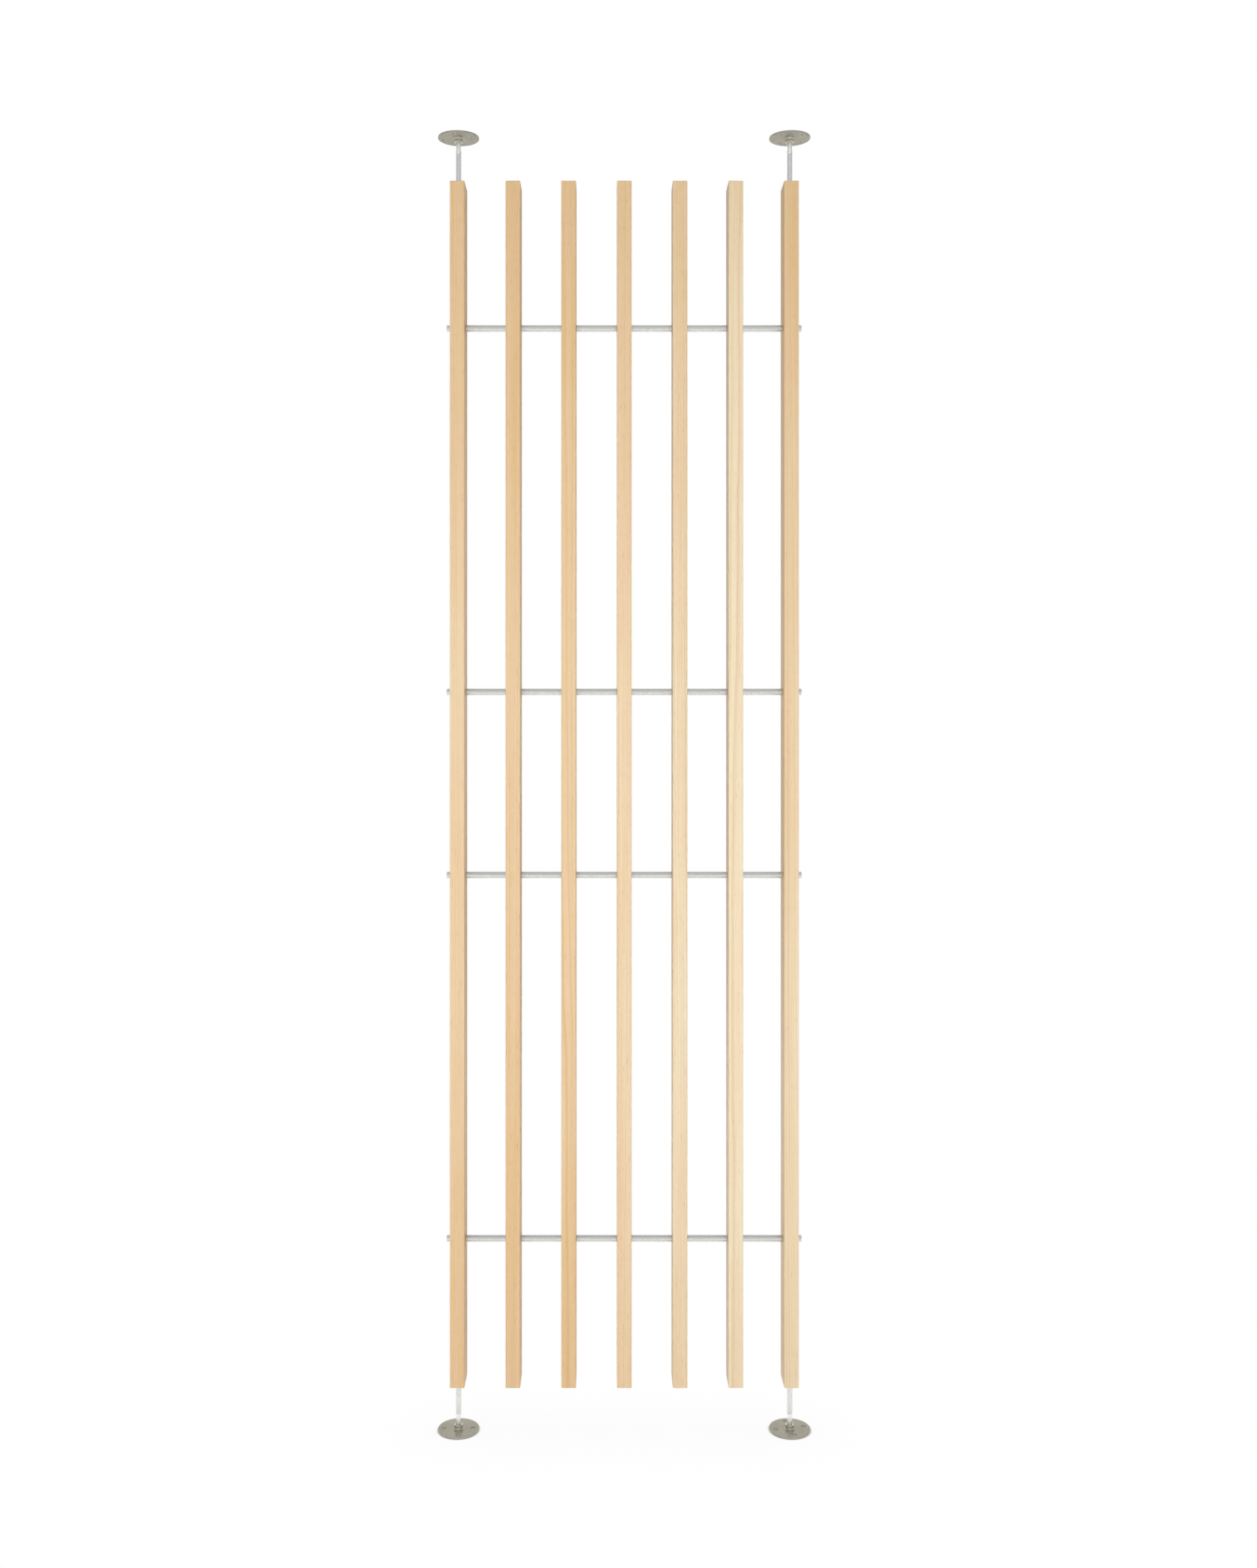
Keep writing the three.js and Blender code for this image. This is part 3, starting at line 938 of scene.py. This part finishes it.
def brushed_steel(name, colour, mark_scale, low, high):
    """Steel with fine marks, close together where mark_scale is large, and roughness low to high."""
    nodes = new_material(name)
    own = nodes.coordinates()
    marks = nodes.noise(nodes.mapped(own, mark_scale), detail=4, roughness=0.7)
    cloud = nodes.noise(nodes.mapped(own, (45, 45, 45)), detail=3)
    roughness = nodes.ranged(marks, 0.25, 0.75, low, high)
    darker = tuple(MARK_BRIGHTNESS * value for value in colour[:3]) + (1.0,)
    return nodes.surface(
        Base_Color=nodes.mixed(nodes.ranged(marks, 0.2, 0.8), colour, darker),
        Metallic=1.0,
        Roughness=nodes.math("ADD", roughness, nodes.centred(cloud, 0.05)),
        Normal=nodes.bump(marks, METAL_RELIEF, 0.5),
    )


def ground_steel():
    return brushed_steel("ground_steel", (0.65, 0.65, 0.63, 1), (60, 60, 2600), 0.2, 0.32)


def thread_steel():
    return brushed_steel("thread_steel", (0.92, 0.92, 0.91, 1), (90, 90, 1800), 0.24, 0.36)


BRIGHT_GROOVE = (0.465, 0.445, 0.36, 1)
DULL_GROOVE = (0.39, 0.37, 0.30, 1)
PLATE_STAIN = (0.365, 0.345, 0.28, 1)
# painted highlight: the hub's colour is lifted to make up for the dark plate that it mirrors
HUB_PAINTED_HIGHLIGHT = (0.72, 0.70, 0.60, 1)
GROOVE_SCALE_OUT = 3200.0
GROOVE_SCALE_UP = 1500.0
GROOVE_RELIEF = 0.008 * MM


def turned_plate():
    """Plate steel with a lathe tool's fine circular marks round the spindle, and a painted highlight
    on the hub.
    """
    nodes = new_material("turned_plate_steel")
    own = nodes.coordinates()
    axes = nodes.axes(own)
    radius = nodes.length(nodes.vector(axes["X"], axes["Y"]))
    wobble = nodes.noise(nodes.mapped(own, (25, 25, 25)), detail=2)
    groove = nodes.noise(nodes.vector(
        nodes.scaled(radius, GROOVE_SCALE_OUT), nodes.scaled(wobble, 0.5),
        nodes.scaled(axes["Z"], GROOVE_SCALE_UP),
    ), detail=3, roughness=0.7)
    cloud = nodes.noise(nodes.mapped(own, (70, 70, 70)), detail=4)
    # painted highlight: the hub, above the plate and near the spindle, gets a brighter colour
    near_hub = nodes.ranged(radius, HUB_RADIUS + HUB_FILLET, HUB_RADIUS)
    above_plate = nodes.ranged(axes["Z"], 0.9 * PLATE_THICKNESS, 1.1 * PLATE_THICKNESS)
    colour = nodes.mixed(nodes.ranged(groove, 0.25, 0.75), BRIGHT_GROOVE, DULL_GROOVE)
    colour = nodes.mixed(nodes.ranged(cloud, 0.35, 0.75, 0.0, 0.35), colour, PLATE_STAIN)
    roughness = nodes.ranged(groove, 0.25, 0.75, 0.28, 0.42)
    return nodes.surface(
        Base_Color=nodes.mixed(nodes.math("MULTIPLY", near_hub, above_plate), colour, HUB_PAINTED_HIGHLIGHT),
        Metallic=1.0,
        Roughness=nodes.math("ADD", roughness, nodes.centred(cloud, 0.12)),
        Anisotropic=0.5,
        Tangent=nodes.add("ShaderNodeTangent", direction_type="RADIAL", axis="Z").outputs[0],
        Normal=nodes.bump(groove, GROOVE_RELIEF, 0.6),
    )


BLUE_ZINC = (0.70, 0.73, 0.78, 1)
YELLOW_ZINC = (0.76, 0.74, 0.68, 1)


def zinc_plate():
    """Bright zinc with a faint blue and yellow bloom."""
    nodes = new_material("zinc_plate")
    own = nodes.coordinates()
    bloom = nodes.noise(nodes.mapped(own, (160, 160, 160)), detail=3)
    grain = nodes.noise(nodes.mapped(own, (1400, 1400, 1400)), detail=2)
    return nodes.surface(
        Base_Color=nodes.mixed(nodes.ranged(bloom, 0.35, 0.65), BLUE_ZINC, YELLOW_ZINC),
        Metallic=1.0,
        Roughness=nodes.ranged(grain, 0.3, 0.7, 0.3, 0.44),
        Normal=nodes.bump(grain, METAL_RELIEF, 0.4),
    )


# ---- Stage, light and camera ----

WHITE = (1, 1, 1, 1)
WORLD_LIGHT = 0.27
OVERHEAD_MIRROR = 0.80
SIDE_MIRROR = 0.62

FLOOR_HALF = 30.0
FLOOR_HEIGHT = -0.5 * MM
FLOOR_COLOUR = (0.86, 0.86, 0.86, 1)
FLOOR_SHEEN = 0.46
CONTACT_REACH = 4.0 * MM
CONTACT_START = 34.0 * MM  # from the spindle's axis, a little inside the plate's rim
SHADOW_REACH = 200.0 * MM
SHADOW_DEPTH = 0.15
SHADE_SAMPLES = 8

# Each softbox: its place, its size and its power
LAMP_TARGET = (0, 0, 1.2)
LAMPS = {
    "front_softbox": ((-0.35, -3.4, 1.4), 1.8, 77.0),
    "back_softbox": ((0.3, 3.4, 1.6), 1.8, 62.0),
    "left_softbox": ((-5.0, 0.3, 1.4), 1.8, 50.0),
    "right_softbox": ((5.0, -0.3, 1.4), 1.8, 50.0),
    "top_softbox": ((0, 0, 4.6), 1.4, 14.0),
}

CAMERA_PLACE = (-0.0304, -2.832, 1.369)
CAMERA_LENS = 35.0
CAMERA_SENSOR = 36.0
CAMERA_SHIFT = (0.0132, -0.0584)
CAMERA_CLIP = (0.05, 200.0)


def seen_directly(nodes, rays):
    """1 for the camera's own rays and for those that reach on through glass, otherwise 0."""
    return nodes.math("MAXIMUM", rays["Is Camera Ray"], rays["Is Transmission Ray"])


def world():
    """Even light that is white to the camera, and greyer in metal overhead and at the sides."""
    made = bpy.data.worlds.new("studio")
    bpy.context.scene.world = made
    nodes = Nodes(made)
    rays = nodes.add("ShaderNodeLightPath").outputs
    axes = nodes.axes(nodes.coordinates("Generated"))
    sideways = nodes.math("ABSOLUTE", axes["X"])
    overhead = nodes.ranged(axes["Z"], 0.1, 0.9, 1.0, OVERHEAD_MIRROR, smooth=True)
    beside = nodes.ranged(sideways, 0.25, 0.95, 1.0, SIDE_MIRROR, smooth=True)
    mirrored = nodes.math("MULTIPLY", overhead, beside)
    white = nodes.scaled(seen_directly(nodes, rays), 1 - WORLD_LIGHT)
    gloss = nodes.math("SUBTRACT", mirrored, WORLD_LIGHT)
    gloss = nodes.math("MULTIPLY", rays["Is Glossy Ray"], gloss)
    strength = nodes.math("ADD", nodes.math("ADD", WORLD_LIGHT, white), gloss)
    light = nodes.add("ShaderNodeBackground", {"Color": WHITE, "Strength": strength})
    nodes.add("ShaderNodeOutputWorld", {"Surface": light.outputs[0]})


def openness(nodes, reach):
    """1 where nothing stands near a point of the floor within reach, and less beside a piece."""
    return nodes.add(
        "ShaderNodeAmbientOcclusion", {"Distance": reach}, samples=SHADE_SAMPLES,
    ).outputs["AO"]


def floor_shadow(nodes):
    """The object's soft shadow, with a line where a plate stands on the floor.

    Where only a spindle goes through the floor's level, there is no such line.
    """
    axes = nodes.axes(nodes.coordinates())
    spindle_x = middle("spindle_bottom_right").x
    aside = nodes.math("SUBTRACT", nodes.math("ABSOLUTE", axes["X"]), spindle_x)
    from_spindle = nodes.length(nodes.vector(aside, axes["Y"]))
    under_plate = nodes.math("LESS_THAN", from_spindle, CONTACT_START)
    contact = nodes.math("MAXIMUM", openness(nodes, CONTACT_REACH), under_plate)
    around = nodes.ranged(openness(nodes, SHADOW_REACH), 0.0, 1.0, 1 - SHADOW_DEPTH, 1.0)
    return nodes.math("MULTIPLY", contact, around)


def pale_floor():
    """A pale surface to bounced light and reflections from above, and clear to all other rays."""
    nodes = new_material("pale_floor")
    rays = nodes.add("ShaderNodeLightPath").outputs
    seen = seen_directly(nodes, rays)
    shadow = nodes.math("MAXIMUM", floor_shadow(nodes), nodes.math("SUBTRACT", 1.0, seen))
    clear = nodes.add("ShaderNodeBsdfTransparent", {"Color": shadow}).outputs[0]

    diffuse = nodes.add("ShaderNodeBsdfDiffuse", {"Color": FLOOR_COLOUR}).outputs[0]
    sheen = nodes.scaled(rays["Is Glossy Ray"], FLOOR_SHEEN)
    light = nodes.add("ShaderNodeEmission", {"Color": WHITE, "Strength": sheen}).outputs[0]
    solid = nodes.add("ShaderNodeAddShader", {0: diffuse, 1: light}).outputs[0]

    from_below = nodes.add("ShaderNodeNewGeometry").outputs["Backfacing"]
    through = nodes.math("MAXIMUM", rays["Is Shadow Ray"], from_below)
    through = nodes.math("MAXIMUM", seen, through)
    both = nodes.add("ShaderNodeMixShader", {0: through, 1: solid, 2: clear}).outputs[0]
    nodes.add("ShaderNodeOutputMaterial", {"Surface": both})
    return nodes.owner


def floor():
    """A pale floor that lights the object from below and that metal mirrors.

    The camera looks through it at the white world, and sees on it only the object's shadow, so a
    foot that is screwed out past the floor's level stays in view.
    """
    half = FLOOR_HALF
    corners = [(-half, -half), (half, -half), (half, half), (-half, half)]
    piece = as_object("floor", [(x, y, FLOOR_HEIGHT) for x, y in corners], [(0, 1, 2, 3)])
    piece.data.materials.append(pale_floor())


def lamp(name, place, size, power):
    data = bpy.data.lights.new(name, "AREA")
    data.shape = "SQUARE"
    data.size = size
    data.energy = power
    piece = bpy.data.objects.new(name, data)
    bpy.context.scene.collection.objects.link(piece)
    piece.location = place
    towards = Vector(LAMP_TARGET) - Vector(place)
    piece.rotation_euler = towards.to_track_quat("-Z", "Y").to_euler()
    piece.visible_camera = False
    piece.visible_glossy = False


def camera():
    """A level view square on, with the picture shifted as the photograph's is."""
    data = bpy.data.cameras.new("photo_camera")
    data.lens = CAMERA_LENS
    data.sensor_width = CAMERA_SENSOR
    data.sensor_fit = "AUTO"
    data.shift_x, data.shift_y = CAMERA_SHIFT
    data.clip_start, data.clip_end = CAMERA_CLIP
    piece = bpy.data.objects.new("photo_camera", data)
    bpy.context.scene.collection.objects.link(piece)
    piece.location = CAMERA_PLACE
    piece.rotation_euler = (math.pi / 2, 0, 0)
    bpy.context.scene.camera = piece


def studio():
    bpy.context.scene.view_settings.view_transform = "Standard"
    world()
    floor()
    for name, (place, size, power) in LAMPS.items():
        lamp(name, place, size, power)
    camera()


for slat_number in range(1, SLAT_COUNT + 1):
    slat(slat_number)
rows()
tie_rods()
feet()
studio()
